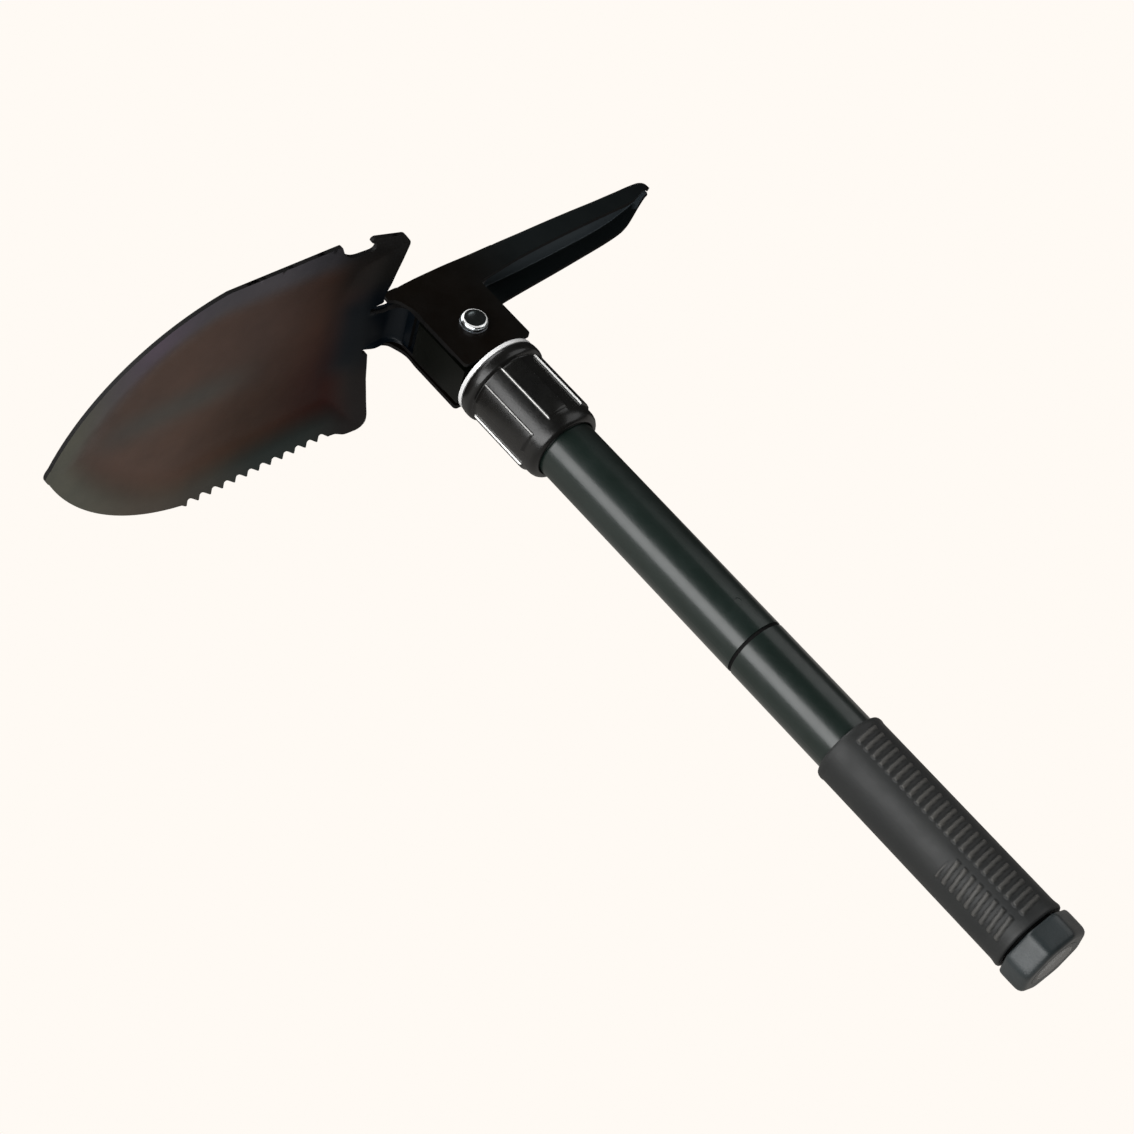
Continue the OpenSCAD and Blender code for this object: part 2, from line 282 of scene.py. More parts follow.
def rings(stations, azimuths, closed=True):
    """A turned solid: stations are (depth, radius function or number) along the handle.
    closed joins the last ring to the first; otherwise both ends are filled."""
    verts, faces = [], []
    count = len(azimuths)
    for depth, radius in stations:
        for a in azimuths:
            r = radius(a) if callable(radius) else radius
            turn = math.radians(a)
            verts.append(Vector((r * math.cos(turn), r * math.sin(turn), -depth)))
    last = len(stations) if closed else len(stations) - 1
    for k in range(last):
        n = (k + 1) % len(stations)
        faces += [(k * count + j, k * count + (j + 1) % count,
                   n * count + (j + 1) % count, n * count + j) for j in range(count)]
    if not closed:
        faces.append(tuple(range(count)))
        faces.append(tuple(reversed(range((len(stations) - 1) * count, len(stations) * count))))
    return verts, faces


def soften(ob, width, segments, angle):
    """Small rounded edges, width in mm, where faces meet at more than angle degrees."""
    m = ob.modifiers.new("edges", "BEVEL")
    m.width = width * MM
    m.segments = segments
    m.limit_method = "ANGLE"
    m.angle_limit = math.radians(angle)
    m.harden_normals = True
    m.miter_outer = "MITER_ARC"


def piece(name, parts, body, look, node):
    """A piece made in the mechanism frame: placed, painted and riding its body, with its node's CAD mesh
    hidden.
    """
    verts, faces = parts
    ob = mesh_object(name, [mech(*v) for v in verts], faces)
    ob.data.materials.append(look)
    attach(ob, body)
    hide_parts(node)
    return ob


# ---------------------------------------------------------------- materials
def new_material(name):
    m = bpy.data.materials.new(name)
    m.use_nodes = True
    nodes, links = m.node_tree.nodes, m.node_tree.links
    return m, nodes, links, nodes["Principled BSDF"]


def shader_node(nodes, kind, **values):
    """A new shader node with its sockets or properties set by name."""
    n = nodes.new(kind)
    for key, value in values.items():
        if key in n.inputs:
            n.inputs[key].default_value = value
        else:
            setattr(n, key, value)
    return n


def ramp(nodes, stops):
    """A colour ramp from (position, colour) stops."""
    n = nodes.new("ShaderNodeValToRGB")
    elements = n.color_ramp.elements
    while len(elements) > 1:
        elements.remove(elements[-1])
    elements[0].position = stops[0][0]
    elements[0].color = (*stops[0][1], 1)
    for at, colour in stops[1:]:
        e = elements.new(at)
        e.color = (*colour, 1)
    return n


def grey(v):
    return (v, v, v)


def noise(nodes, links, coords, scale, detail, rough):
    n = nodes.new("ShaderNodeTexNoise")
    n.inputs["Scale"].default_value = scale
    n.inputs["Detail"].default_value = detail
    n.inputs["Roughness"].default_value = rough
    links.new(coords, n.inputs["Vector"])
    return n


def bumped(nodes, links, shader, heights, distance):
    """Fine relief from a height output."""
    b = nodes.new("ShaderNodeBump")
    b.inputs["Strength"].default_value = 1.0
    b.inputs["Distance"].default_value = distance
    links.new(heights, b.inputs["Height"])
    links.new(b.outputs["Normal"], shader.inputs["Normal"])


def clouded(nodes, links, coords, scale, detail, rough, stops):
    """The colour of a ramp that noise drives."""
    cloud = noise(nodes, links, coords, scale, detail, rough)
    shade = ramp(nodes, stops)
    links.new(cloud.outputs["Fac"], shade.inputs["Fac"])
    return shade.outputs["Color"]


def worn_surface(nodes, links, shader, coords, gloss_scale, rough_low, rough_high, relief_scale, relief):
    """Gloss that varies a little, and fine relief."""
    stops = [(0.25, grey(rough_low)), (0.75, grey(rough_high))]
    gloss = clouded(nodes, links, coords, gloss_scale, 5.0, 0.65, stops)
    links.new(gloss, shader.inputs["Roughness"])
    grain = noise(nodes, links, coords, relief_scale, 2.0, 0.5)
    bumped(nodes, links, shader, grain.outputs["Fac"], relief)


# Gloss varies at a finer scale than colour, by this factor.
GLOSS_FINER = 3.1


def finish(name, dark, light, scale, rough_low, rough_high, relief, relief_scale, metal=0.0, coat=0.0,
           shine=0.5):
    """A surface whose colour and gloss vary a little, with fine relief."""
    m, nodes, links, shader = new_material(name)
    coords = nodes.new("ShaderNodeTexCoord").outputs["Object"]
    tint = clouded(nodes, links, coords, scale, 4.0, 0.6, [(0.3, dark), (0.7, light)])
    links.new(tint, shader.inputs["Base Color"])
    worn_surface(nodes, links, shader, coords, scale * GLOSS_FINER, rough_low, rough_high,
                 relief_scale, relief)
    shader.inputs["Metallic"].default_value = metal
    shader.inputs["Specular IOR Level"].default_value = shine
    shader.inputs["Coat Weight"].default_value = coat
    shader.inputs["Coat Roughness"].default_value = 0.12
    return m


tube_paint = finish("tube_paint", (0.0035, 0.0085, 0.0065), (0.0065, 0.0125, 0.0105), 60,
                    0.27, 0.36, 0.00001, 900, coat=0.12)
collar_paint = finish("collar_paint", (0.002, 0.002, 0.002), (0.005, 0.005, 0.0045), 70,
                      0.24, 0.34, 0.00002, 1100, coat=0.12, shine=0.4)
# Painted highlights: the bright lines beside the collar's bars are painted in this colour, fixed in place,
# standing in for glints on the bars' flanks. They don't follow the lights as a glint would.
collar_painted_glint = finish("collar_glint_paint", (0.70, 0.70, 0.68), (0.92, 0.92, 0.90), 240,
                     0.25, 0.4, 0.00002, 1100, metal=0.1)
yoke_paint = finish("yoke_paint", (0.0008, 0.0012, 0.0006), (0.002, 0.0026, 0.0018), 60,
                    0.30, 0.42, 0.00002, 900, shine=0.14)
cap_plastic = finish("cap_plastic", (0.010, 0.014, 0.015), (0.020, 0.026, 0.028), 80,
                     0.34, 0.48, 0.00003, 1500)
seal_rubber = finish("seal_rubber", (0.002, 0.002, 0.002), (0.005, 0.005, 0.005), 150,
                     0.6, 0.8, 0.00003, 1500, shine=0.08)
chrome = finish("rivet_chrome", (0.46, 0.50, 0.52), (0.62, 0.66, 0.68), 120,
                0.08, 0.2, 0.00001, 900, metal=1.0)
# Darker metal on the rivets' dished middles is painted shade.
dish_painted_shade = finish("rivet_dish", (0.10, 0.12, 0.13), (0.24, 0.27, 0.28), 120,
                    0.10, 0.2, 0.00001, 900, metal=1.0)
# Bright plate for the washer and the dial, also used on the rivets' rings as a painted highlight.
plate_and_highlight = finish("bright_plate_and_highlight", (0.84, 0.84, 0.84), (0.93, 0.93, 0.92), 160,
                0.18, 0.30, 0.00001, 1200, metal=0.2)
zinc = finish("zinc_steel", (0.36, 0.37, 0.39), (0.52, 0.53, 0.55), 200,
              0.28, 0.45, 0.00002, 1200, metal=1.0)
brass = finish("brass", (0.50, 0.34, 0.13), (0.68, 0.50, 0.24), 220,
               0.22, 0.4, 0.00002, 1400, metal=1.0)
enamel = finish("needle_enamel", (0.34, 0.02, 0.015), (0.5, 0.035, 0.025), 300,
                0.2, 0.35, 0.00001, 1500)
lens = finish("smoked_lens", (0.36, 0.40, 0.42), (0.44, 0.48, 0.50), 200,
              0.02, 0.06, 0.000005, 900, shine=0.3)
glass = lens.node_tree.nodes["Principled BSDF"]
glass.inputs["Transmission Weight"].default_value = 1.0
glass.inputs["IOR"].default_value = 1.15


# ---------------------------------------------------------------- the blade
SHEET = 1.5
# The ears: middle of each plate, its thickness, corner radius, half width and top.
EAR_MID, EAR_T, EAR_R, EAR_HALF, EAR_TOP = 8.925, 1.45, 14.6, 13.5, 23.2
RIVET_HOLE_R = 3.06
# The tongue that joins the blade to its ears, and the slot on each side of it.
TONGUE_START, TONGUE_HALF = 12.6, 10.5
SLOT_END, SLOT_IN, SLOT_OUT = 26.6, 9.1, 11.5
NECK_BEND_X, NECK_BEND_R, ROLL_R, ROLL_END = 19.0, 6.55, 2.1, 27.4
# Each side of the nose is an arc, from where the saw or the shoulder ends to the point.
BLADE_TIP = 153.2
NOSE_R, NOSE_X, NOSE_Y = 83.3, 75.8, -30.9
NOSE_START, NOSE_END = 96.4, 151.7
SHOULDER = 89.0
# Longest edge along an outline, and the grid step on a flat plate.
EDGE_STEP, PLATE_STEP = 0.9, 2.2
SAW_START, SAW_PITCH, SAW_LINE, SAW_DEPTH, TEETH = 33.7, 5.05, 51.35, 3.4, 13


def nose_half(x):
    """Half width of the blade's nose."""
    return math.sqrt(max(NOSE_R**2 - (x - NOSE_X) ** 2, 0)) + NOSE_Y


def blade_outline():
    """The blade's flat outline: rear edge, saw, nose, point, nose and hook."""
    root = SAW_DEPTH - SAW_LINE
    saw = []
    for i in range(TEETH):
        x = SAW_START + i * SAW_PITCH
        saw += [Vector((x - 0.12, -SAW_LINE)), Vector((x + 0.14, -SAW_LINE - 0.12)),
                Vector((x + 0.5, -SAW_LINE + 0.1))]
        if i < TEETH - 1:
            n = x + SAW_PITCH
            saw += [Vector((x + 2.7, root - 1.0)), Vector((x + 3.4, root - 0.35))]
            saw += arc(n - 0.95, root - 0.8, 0.8, 110, 5, 5)
    nose = [Vector((x, -nose_half(x))) for x in np.linspace(NOSE_START, NOSE_END, 36)]
    point = [Vector((x, y)) for y, x in ((-2.3, 152.5), (-1.3, 153.0), (-0.4, BLADE_TIP),
                                         (0.4, BLADE_TIP), (1.3, 153.0), (2.3, 152.5))]
    other = [Vector((x, nose_half(x))) for x in np.linspace(NOSE_END, SHOULDER, 40)]
    rear_low = rounded([(TONGUE_START, -EAR_MID, 0), (NECK_BEND_X, -EAR_MID, 0),
                        (SLOT_END, -SLOT_IN, 0.7), (SLOT_END, -SLOT_OUT, 0.7), (24.1, -SLOT_OUT, 2.2),
                        (22.4, -26, 50), (19.9, -40, 30), (18.4, -47.6, 20), (18.2, -53.9, 4.0),
                        (27, -54.0, 4.5), (31, -51.6, 3), (SAW_START - 0.3, -SAW_LINE, 0)])[:-1]
    hook = rounded([(SHOULDER - 1, nose_half(SHOULDER), 0), (44.4, 49.4, 1.2), (42.4, 44.3, 5),
                    (38.4, 40.9, 8), (29.0, 40.0, 1.9), (29.2, 43.4, 1.2), (32.9, 45.4, 1.0),
                    (30.6, 46.5, 1.2), (17.2, 41.6, 4), (13.7, 36.4, 3.4), (15.6, 29.2, 30),
                    (18.6, 19.4, 14), (21.4, 14.8, 1.5), (21.2, SLOT_OUT, 0.8),
                    (SLOT_END, SLOT_OUT, 0.7), (SLOT_END, SLOT_IN, 0.7), (NECK_BEND_X, EAR_MID, 0),
                    (TONGUE_START, EAR_MID, 0)])[1:]
    return rear_low + saw + nose + point + other + hook


BLADE_LOOP = blade_outline()


def on_rim(p):
    """The dish follows the pressed rim only, past the tongue with its slots and the hook's notch."""
    on_tongue = p.x < 28 and abs(p.y) < 13
    in_notch = 28 < p.x < 43 and 38 < p.y < 46
    return not (on_tongue or in_notch)


RIM_LOOP = resampled([p for p in BLADE_LOOP if on_rim(p)], 2.0)
RIM_A = np.array([tuple(v) for v in RIM_LOOP], float)
RIM_B = np.roll(RIM_A, -1, axis=0)
RIM_AB = RIM_B - RIM_A
# Heights of the sheet's middle on the rim, the panel, the neck and the rear edge.
RIM_Z, PANEL_Z, NECK_Z, REAR_Z = 23.75, 26.2, 23.05, 22.5
# A bend stops just short of upright, so that the sheet never overhangs.
BEND_LIMIT = 0.985


def rim_distance(x, y):
    """Distance from the pressed rim."""
    p = np.array((x, y))
    t = np.clip(((p - RIM_A) * RIM_AB).sum(1) / (RIM_AB * RIM_AB).sum(1), 0, 1)
    return float(np.sqrt((((RIM_A + t[:, None] * RIM_AB) - p) ** 2).sum(1)).min())


def bend_drop(share, radius):
    """How far a bend has fallen at this share of its radius."""
    out = min(share, BEND_LIMIT)
    return radius - math.sqrt(radius**2 - (out * radius) ** 2)


def blade_height(x, y):
    """Height of the sheet's middle: a flat pressed rim, a raised panel and a dip to the neck."""
    d = rim_distance(x, y)
    z = RIM_Z + (PANEL_Z - RIM_Z) * smooth((d - 4.5) / 13)
    z += 0.55 * (1 - (1 - min(d, 46) / 46) ** 2)
    # A soft fold down the middle, between the two panels.
    z -= 0.28 * math.exp(-(y / 7.5) ** 2) * smooth((d - 10) / 25)
    z += (REAR_Z - RIM_Z) * smooth((36 - x) / 18) * smooth((24 - y) / 20)
    dip = smooth((41 - x) / 17) * smooth((21 - abs(y)) / 13)
    z += (NECK_Z - z) * dip
    if abs(y) < TONGUE_HALF and x < ROLL_END:
        edge = EAR_MID - ROLL_R
        z -= bend_drop(max(abs(y) - edge, 0) / ROLL_R, ROLL_R) * smooth((ROLL_END - x) / 5.5)
    if abs(y) < TONGUE_HALF and x < NECK_BEND_X:
        z -= bend_drop((NECK_BEND_X - x) / NECK_BEND_R, NECK_BEND_R)
    return z


def blade_place(x, y):
    return Vector((x, y, blade_height(x, y)))


def blade_mid(x, y):
    return blade_place(x, y), slope_normal(blade_place, x, y)


def blade_spacing(x, y):
    """Grid step: fine at the neck, coarser over the panel."""
    if x < 29 and abs(y) < 14:
        return 0.85
    return 2.3 if x > 46 else 1.5


def ear_outline():
    corner = math.sqrt(EAR_R**2 - EAR_HALF**2)
    turn = math.degrees(math.atan2(corner, EAR_HALF))
    front = [Vector(p) for p in ((EAR_HALF, 15.5), (13.6, 17.6), (14.2, 19.4), (15.4, 20.9),
                                 (17.2, 21.8), (19.4, 22.1), (23.5, 22.6), (25.8, 23.6),
                                 (25.6, 24.0), (20, 23.0))]
    return (arc(0, 0, EAR_R, -turn, turn - 90, 8) + arc(0, 0, EAR_R, -90 - turn, -180 + turn, 8)
            + rounded([(-EAR_HALF, 0, 0), (-EAR_HALF, EAR_TOP, 1.6), (13.2, EAR_TOP, 0)])
            + list(reversed(front)))


RIVET_HOLE = arc(0, 0, RIVET_HOLE_R, 0, 345, 23)


def ear(side):
    """One ear: a flat plate with its rivet hole."""
    return sheet(ear_outline(), [RIVET_HOLE],
                 lambda x, z: (Vector((x, side * EAR_MID, z)), Vector((0, side, 0))),
                 EAR_T, lambda x, y: PLATE_STEP, EDGE_STEP)


ROLL_SHARES = (0.0, 0.4, 0.65, 0.82, 0.93)
BEND_SHARES = (0.0, 0.35, 0.6, 0.78, 0.9, 0.96)
roll_lines = [[Vector((x, side * (EAR_MID - ROLL_R * (1 - share)))) for x in np.linspace(12.75, 25.8, 18)]
              for side in (-1, 1) for share in ROLL_SHARES]
bend_lines = [[Vector((NECK_BEND_X - NECK_BEND_R * share, y)) for y in np.linspace(-8.8, 8.8, 18)]
              for share in BEND_SHARES]
blade_main = sheet(BLADE_LOOP, [], blade_mid, SHEET, blade_spacing, EDGE_STEP, roll_lines + bend_lines)
# A short apron carries the bent tongue down over the front of the yoke.
APRON_X = NECK_BEND_X - NECK_BEND_R
apron_loop = rounded([(-8.6, 14.6, 1.2), (8.6, 14.6, 1.2), (8.9, 17.9, 0), (-8.9, 17.9, 0)])
apron = sheet(apron_loop, [], lambda y, z: (Vector((APRON_X, y, z)), Vector((-1, 0, 0))),
              SHEET, lambda x, y: 1.5, 1.0)
blade_parts = joined(blade_main, apron, ear(1), ear(-1))


def tinted_paint(name, attribute, rough_low, rough_high, shine):
    """A surface whose colour is held by the mesh and clouded a little."""
    m, nodes, links, shader = new_material(name)
    coords = nodes.new("ShaderNodeTexCoord").outputs["Object"]
    shader.inputs["Specular IOR Level"].default_value = shine
    tint = nodes.new("ShaderNodeAttribute")
    tint.attribute_name = attribute
    stops = [(0.25, (0.78, 0.80, 0.82)), (0.75, (1.2, 1.17, 1.14))]
    shade = clouded(nodes, links, coords, 34, 4.0, 0.6, stops)
    both = nodes.new("ShaderNodeMix")
    both.data_type = "RGBA"
    both.blend_type = "MULTIPLY"
    both.inputs["Factor"].default_value = 1.0
    links.new(tint.outputs["Color"], both.inputs["A"])
    links.new(shade, both.inputs["B"])
    links.new(both.outputs["Result"], shader.inputs["Base Color"])
    worn_surface(nodes, links, shader, coords, 140, rough_low, rough_high, 420, 0.00002)
    return m


def in_mech(co):
    """A vertex of a placed piece, back in the mechanism frame."""
    return (co.y - PIVOT.y) / MM, (co.z - PIVOT.z) / MM, (co.x - PIVOT.x) / MM


def paint_vertices(ob, attribute, colour_at):
    """Store colour_at(x, y, z) on each vertex, for tinted_paint to read."""
    flat = []
    for v in ob.data.vertices:
        flat += [*colour_at(*in_mech(v.co)), 1.0]
    layer = ob.data.attributes.new(attribute, "FLOAT_COLOR", "POINT")
    layer.data.foreach_set("color", flat)


def mixed(a, b, t):
    """The colour a share t of the way from a to b."""
    return tuple(p + (q - p) * t for p, q in zip(a, b))


# Colours of the blade's zones. The paler, cooler rim, the lighter point and the pale streak down the panel
# are painted reflections, and the darkening towards the neck, the rear and the hook is painted shade. They
# stay where they are under any light.
HOOK_COLOUR, HOOK_BASE = (0.0045, 0.0050, 0.0062), (0.0085, 0.0078, 0.0072)
NECK_COLOUR, PAINTED_STREAK_HIGHLIGHT = (0.0006, 0.0022, 0.0042), (0.056, 0.054, 0.048)
RIM_REAR, RIM_SAW, RIM_LOW = (0.010, 0.008, 0.008), (0.013, 0.021, 0.019), (0.058, 0.047, 0.036)
RIM_HOOK, RIM_HIGH, RIM_TIP = (0.056, 0.052, 0.060), (0.082, 0.063, 0.088), (0.080, 0.080, 0.062)
SAW_REAR, SAW_PANEL = (0.020, 0.002, 0.0006), (0.041, 0.019, 0.011)
HOOK_REAR, HOOK_PANEL = (0.036, 0.015, 0.009), (0.057, 0.034, 0.027)
FRONT_PANEL = (0.079, 0.046, 0.034)


def blade_colour(x, y, z):
    """Brown panels inside a cooler, paler pressed rim, nearly black at the hook, the neck and the ears. The
    paler rim, the lighter point and the streak are painted reflections, and the darkening towards the neck
    and hook is painted shade.
    """
    if z < 20 or (x < 20 and abs(y) < 11):
        return NECK_COLOUR
    across = smooth((y + 20) / 40)
    rear = mixed(SAW_REAR, HOOK_REAR, across)
    panel = mixed(rear, mixed(SAW_PANEL, HOOK_PANEL, across), smooth((x - 36) / 38))
    panel = mixed(panel, FRONT_PANEL, smooth((x - 70) / 45))
    # The pale streak down the middle of the panel is a painted reflection.
    streak = math.exp(-((y - 2) / 7.0) ** 2) * smooth((x - 62) / 30) * smooth((150 - x) / 40)
    panel = mixed(panel, PAINTED_STREAK_HIGHLIGHT, 0.85 * streak)
    saw_rim = mixed(mixed(RIM_REAR, RIM_SAW, smooth((x - 25) / 25)), RIM_LOW, smooth((x - 60) / 50))
    hook_rim = mixed(mixed(HOOK_COLOUR, RIM_HOOK, smooth((x - 24) / 45)), RIM_HIGH, smooth((x - 90) / 30))
    rim = mixed(mixed(saw_rim, hook_rim, smooth((y + 12) / 30)), RIM_TIP, smooth((x - 112) / 34))
    colour = mixed(rim, panel, smooth((rim_distance(x, y) - 4.5) / 12))
    # Darker towards the hook's base and the neck: painted shade.
    colour = mixed(colour, HOOK_BASE, 0.9 * smooth((48 - x) / 16) * smooth((y - 13) / 12))
    return mixed(colour, NECK_COLOUR, smooth((47 - x) / 15) * smooth((25 - abs(y)) / 13))


blade = piece("blade_head", blade_parts, "blade_body",
              tinted_paint("blade_paint", "paint", 0.36, 0.48, 0.15), "blade")
paint_vertices(blade, "paint", blade_colour)
edge_paint = finish("edge_paint", (0.002, 0.002, 0.002), (0.005, 0.0045, 0.0045), 90,
                    0.5, 0.65, 0.00002, 900, shine=0.15)


def darken_edges(ob):
    """The cut edge of a sheet, its only faces with four corners, takes the edge paint."""
    ob.data.materials.append(edge_paint)
    for face in ob.data.polygons:
        if len(face.vertices) == 4:
            face.material_index = 1


darken_edges(blade)
soften(blade, 0.28, 2, 50)

# ---------------------------------------------------------------- the pick
PICK_T = 1.55
# The flat pattern's v runs across the web up to WEB_V, round the fold up to FOLD_V, then down the flange.
WEB_V, FOLD_V, FOLD_R = 9.0, 11.0, 1.25
# The web starts behind the ears.
WEB_START = -28.6
# Half width, top and lower edge along the pick, and the top edge of its ears.
pick_half = table([(-105.4, 1.75), (-103.2, 3.6), (-99, 5.8), (-90, 7.9), (-78, 9.3), (-50, 10.9),
                   (-30, 11.35), (-26, 11.4), (20, 11.4)])
pick_top = table([(-105.4, 28.9), (-102.6, 28.6), (-99, 27.95), (-95, 27.4), (-87, 26.6), (-75, 26.15),
                  (-45, 26.15), (WEB_START, 26.35), (20, 26.35)])
ear_top = table([(-28, 25.5), (-19, 25.65), (-4.5, 26.1), (4, 26.1), (11, 25.9), (20, 25.9)])
pick_low = table([(-105.4, 25.3), (-104.3, 25.2), (-101.5, 24.3), (-97, 22.2), (-93, 20.4), (-89, 19.3),
                  (-84, 18.8), (-65, 17.9), (-35, 16.3), (-14.2, 13.9)])


def fold_radius(x):
    """Radius of the fold, smaller where the pick narrows to its tip."""
    return min(FOLD_R, pick_half(x) - PICK_T / 2 - 0.05)


def pick_pos(x, v, ears):
    """A point of the pick's flat pattern: web, fold, then flange, mirrored for negative v."""
    side = -1.0 if v < 0 else 1.0
    v = abs(v)
    half = pick_half(x) - PICK_T / 2
    top = pick_top(x) - PICK_T / 2
    r = fold_radius(x)
    if v >= FOLD_V or ears:
        return Vector((x, side * half, top - r - (v - FOLD_V)))
    if v <= WEB_V:
        return Vector((x, side * (half - r) * v / WEB_V, top))
    a = math.radians(90 * (v - WEB_V) / (FOLD_V - WEB_V))
    return Vector((x, side * (half - r + r * math.sin(a)), top - r + r * math.cos(a)))


def pick_mid(x, v):
    """A point of the folded sheet's middle, and its normal."""
    ears = x > WEB_START + 0.15
    h = 0.03
    du = pick_pos(x + h, v, ears) - pick_pos(x - h, v, ears)
    dv = pick_pos(x, v + h, ears) - pick_pos(x, v - h, ears) if abs(v) > h else Vector((0, 1, 0))
    normal = du.cross(dv).normalized()
    return pick_pos(x, v, ears), normal


def pick_outline():
    """The flat outline of the channel and its ears, one half mirrored to the other."""
    def drop(x, z):
        """The pattern's v at height z on the flange."""
        return FOLD_V + pick_top(x) - PICK_T / 2 - fold_radius(x) - z

    near = [Vector((-105.4, v)) for v in np.linspace(0, drop(-105.4, pick_low(-105.4)), 8)]
    near += [Vector((x, drop(x, pick_low(x)))) for x in np.linspace(-105.2, -14.6, 110)]
    ear = rounded([(-14.2, drop(-14.2, 13.9), 0.5), (-14.2, drop(-14.2, -13.5), 1.3),
                   (14.2, drop(14.2, -13.5), 1.3), (14.2, drop(14.2, 9), 12), (13.7, drop(13.7, 14), 12),
                   (16.4, drop(16.4, 21.0), 4.0), (19.2, drop(19.2, 22.6), 0.9),
                   (19.0, drop(19.0, 25.0), 1.2), (17.4, drop(17.4, 26.0), 0.8),
                   (13.5, drop(13.5, 25.95), 3)])
    top = [Vector((x, drop(x, ear_top(x)))) for x in np.linspace(10, WEB_START + 0.45, 30)]
    slit = [Vector((WEB_START + 0.3, FOLD_V + 0.2)), Vector((WEB_START, FOLD_V + 0.2)),
            Vector((WEB_START, FOLD_V - 0.4)), Vector((WEB_START, WEB_V))]
    mouth = [Vector((WEB_START - 2.2 * (1 - (v / WEB_V) ** 2), v)) for v in np.linspace(WEB_V - 1, 0, 9)]
    half = near[1:] + ear + top + slit + mouth
    return half + [Vector((p.x, -p.y)) for p in reversed(half) if p.y > 0.01] + [near[0]]


pick_folds = [[Vector((x, side * v)) for x in np.linspace(-104.9, WEB_START - 2.6, 66)]
              for side in (-1, 1) for v in (WEB_V, 9.4, 9.8, 10.2, 10.6, FOLD_V)]
PIN_V = FOLD_V + pick_top(0) - PICK_T / 2 - fold_radius(0)
pick_holes = [[Vector((p.x, side * (PIN_V - p.y))) for p in RIVET_HOLE] for side in (1, -1)]


def pick_spacing(x, y):
    """Grid step, finer where the web meets the ears."""
    return 1.1 if -34 < x < -26 else 1.7


pick_parts = sheet(pick_outline(), pick_holes, pick_mid, PICK_T, pick_spacing, 0.7, pick_folds)
pick = piece("pick_head", pick_parts, "pick_body",
             tinted_paint("pick_paint", "paint", 0.32, 0.44, 0.12), "pick")


# The paler colour under the web is painted light, standing in for light reaching the web's underside.
PICK_SIDE, PICK_EAR, PICK_WEB_LIGHT = (0.0045, 0.0062, 0.0066), (0.0022, 0.0012, 0.0004), (0.044, 0.055, 0.062)


def pick_colour(x, y, z):
    """Near black, a little browner over the ears, and painted paler under the web: painted light on the
    web's underside.
    """
    side = mixed(PICK_SIDE, PICK_EAR, smooth((x + 42) / 40))
    under = z < pick_top(x) - 1.2 and abs(y) < pick_half(x) - 1.6 and x < WEB_START
    return PICK_WEB_LIGHT if under else side


paint_vertices(pick, "paint", pick_colour)
darken_edges(pick)
soften(pick, 0.42, 3, 45)

# ---------------------------------------------------------------- the collar
BARS = 6
# Azimuth of the first bar's middle and half a bar's width, in degrees.
BAR_TURN, BAR_HALF = 20.4, 15.0
COLLAR_R, BAR_R = 14.35, 15.25
# The bars stop this far from the collar's top and end.
BAR_FROM_TOP, BAR_FROM_END = 5.1, 5.4
collar_top, collar_end = depths("locking_collar")


def bar_offset(azimuth):
    """Degrees from the middle of the nearest bar."""
    return (azimuth - BAR_TURN + 180 / BARS) % (360 / BARS) - 180 / BARS


def bar_mask(azimuth):
    """1 on a raised bar and 0 between bars, with short soft flanks."""
    return smooth((BAR_HALF + 1.1 - abs(bar_offset(azimuth))) / 2.2)


def bar_azimuths():
    """Azimuths of the collar's mesh, close together on the bars' flanks."""
    steps = [0, 4, 8, 11, 12.8, 13.9, 14.5, 15, 15.5, 16.1, 17.2, 20, 25]
    offsets = sorted({-s for s in steps} | set(steps))
    return [BAR_TURN + 360 / BARS * b + o for b in range(BARS) for o in offsets]


def collar_parts():
    """A rounded band, the raised bars and a tapered end, with the bore inside."""
    top, end = collar_top, collar_end

    def bars(depth):
        ends = smooth((depth - top - BAR_FROM_TOP) / 0.9) * smooth((end - BAR_FROM_END - depth) / 1.2)
        return lambda a: COLLAR_R + (BAR_R - COLLAR_R) * bar_mask(a) * ends

    outer = [(top, 14.6), (top + 0.05, 15.2), (top + 0.25, 15.75), (top + 0.7, 16.05), (top + 1.4, 16.15),
             (top + 2.4, 16.2), (top + 3.3, 16.15), (top + 4.0, 16.0), (top + 4.5, 15.7),
             (top + 4.8, 15.2), (top + 5.0, 14.7)]
    outer += [(top + d, bars(top + d)) for d in (5.2, 5.5, 5.8, 6.1, 7, 12, 18, 24)]
    outer += [(end - d, bars(end - d)) for d in (9, 6.8, 6.4, 6.0, 5.7, 5.3)]
    outer += [(end - 4.2, COLLAR_R), (end - 2.6, 14.25), (end - 1.5, 13.95), (end - 0.7, 13.4),
              (end - 0.2, 12.7), (end, 12.1)]
    bore = [(end - 0.05, 11.42), (end - 6.9, 11.42), (end - 7, 12.56), (top + 0.4, 12.56), (top, 12.9)]
    return rings(outer + bore, bar_azimuths())


collar = piece("collar_shell", collar_parts(), "collar_body", collar_paint, "locking_collar")
collar.data.materials.append(collar_painted_glint)
# The faces on each bar's flank take the painted highlight, outside a radius that leaves out the bore.
FLANK_FROM, FLANK_TO, OUTSIDE_R = 14.4, 15.6, 14.3
for face in collar.data.polygons:
    x, y, z = in_mech(face.center)
    off = abs(bar_offset(math.degrees(math.atan2(y, x))))
    along_bar = collar_top + 5.6 < -z < collar_end - 6.0
    if along_bar and math.hypot(x, y) > OUTSIDE_R and FLANK_FROM < off < FLANK_TO:
        face.material_index = 1

# ---------------------------------------------------------------- the grip
grip_top, grip_end = depths("grip_sleeve")
GRIP_R = 12.9
RIB_PITCH, RIB_HEIGHT = 3.27, 0.85
# Half a rib's length, in degrees.
RIB_HALF = 19.0
# Azimuth of each row's middle, and where along the grip it starts, as a share of its length.
RIB_ROWS = [(87.4, 0.03), (36.4, 0.62), (267.4, 0.03), (216.4, 0.62)]


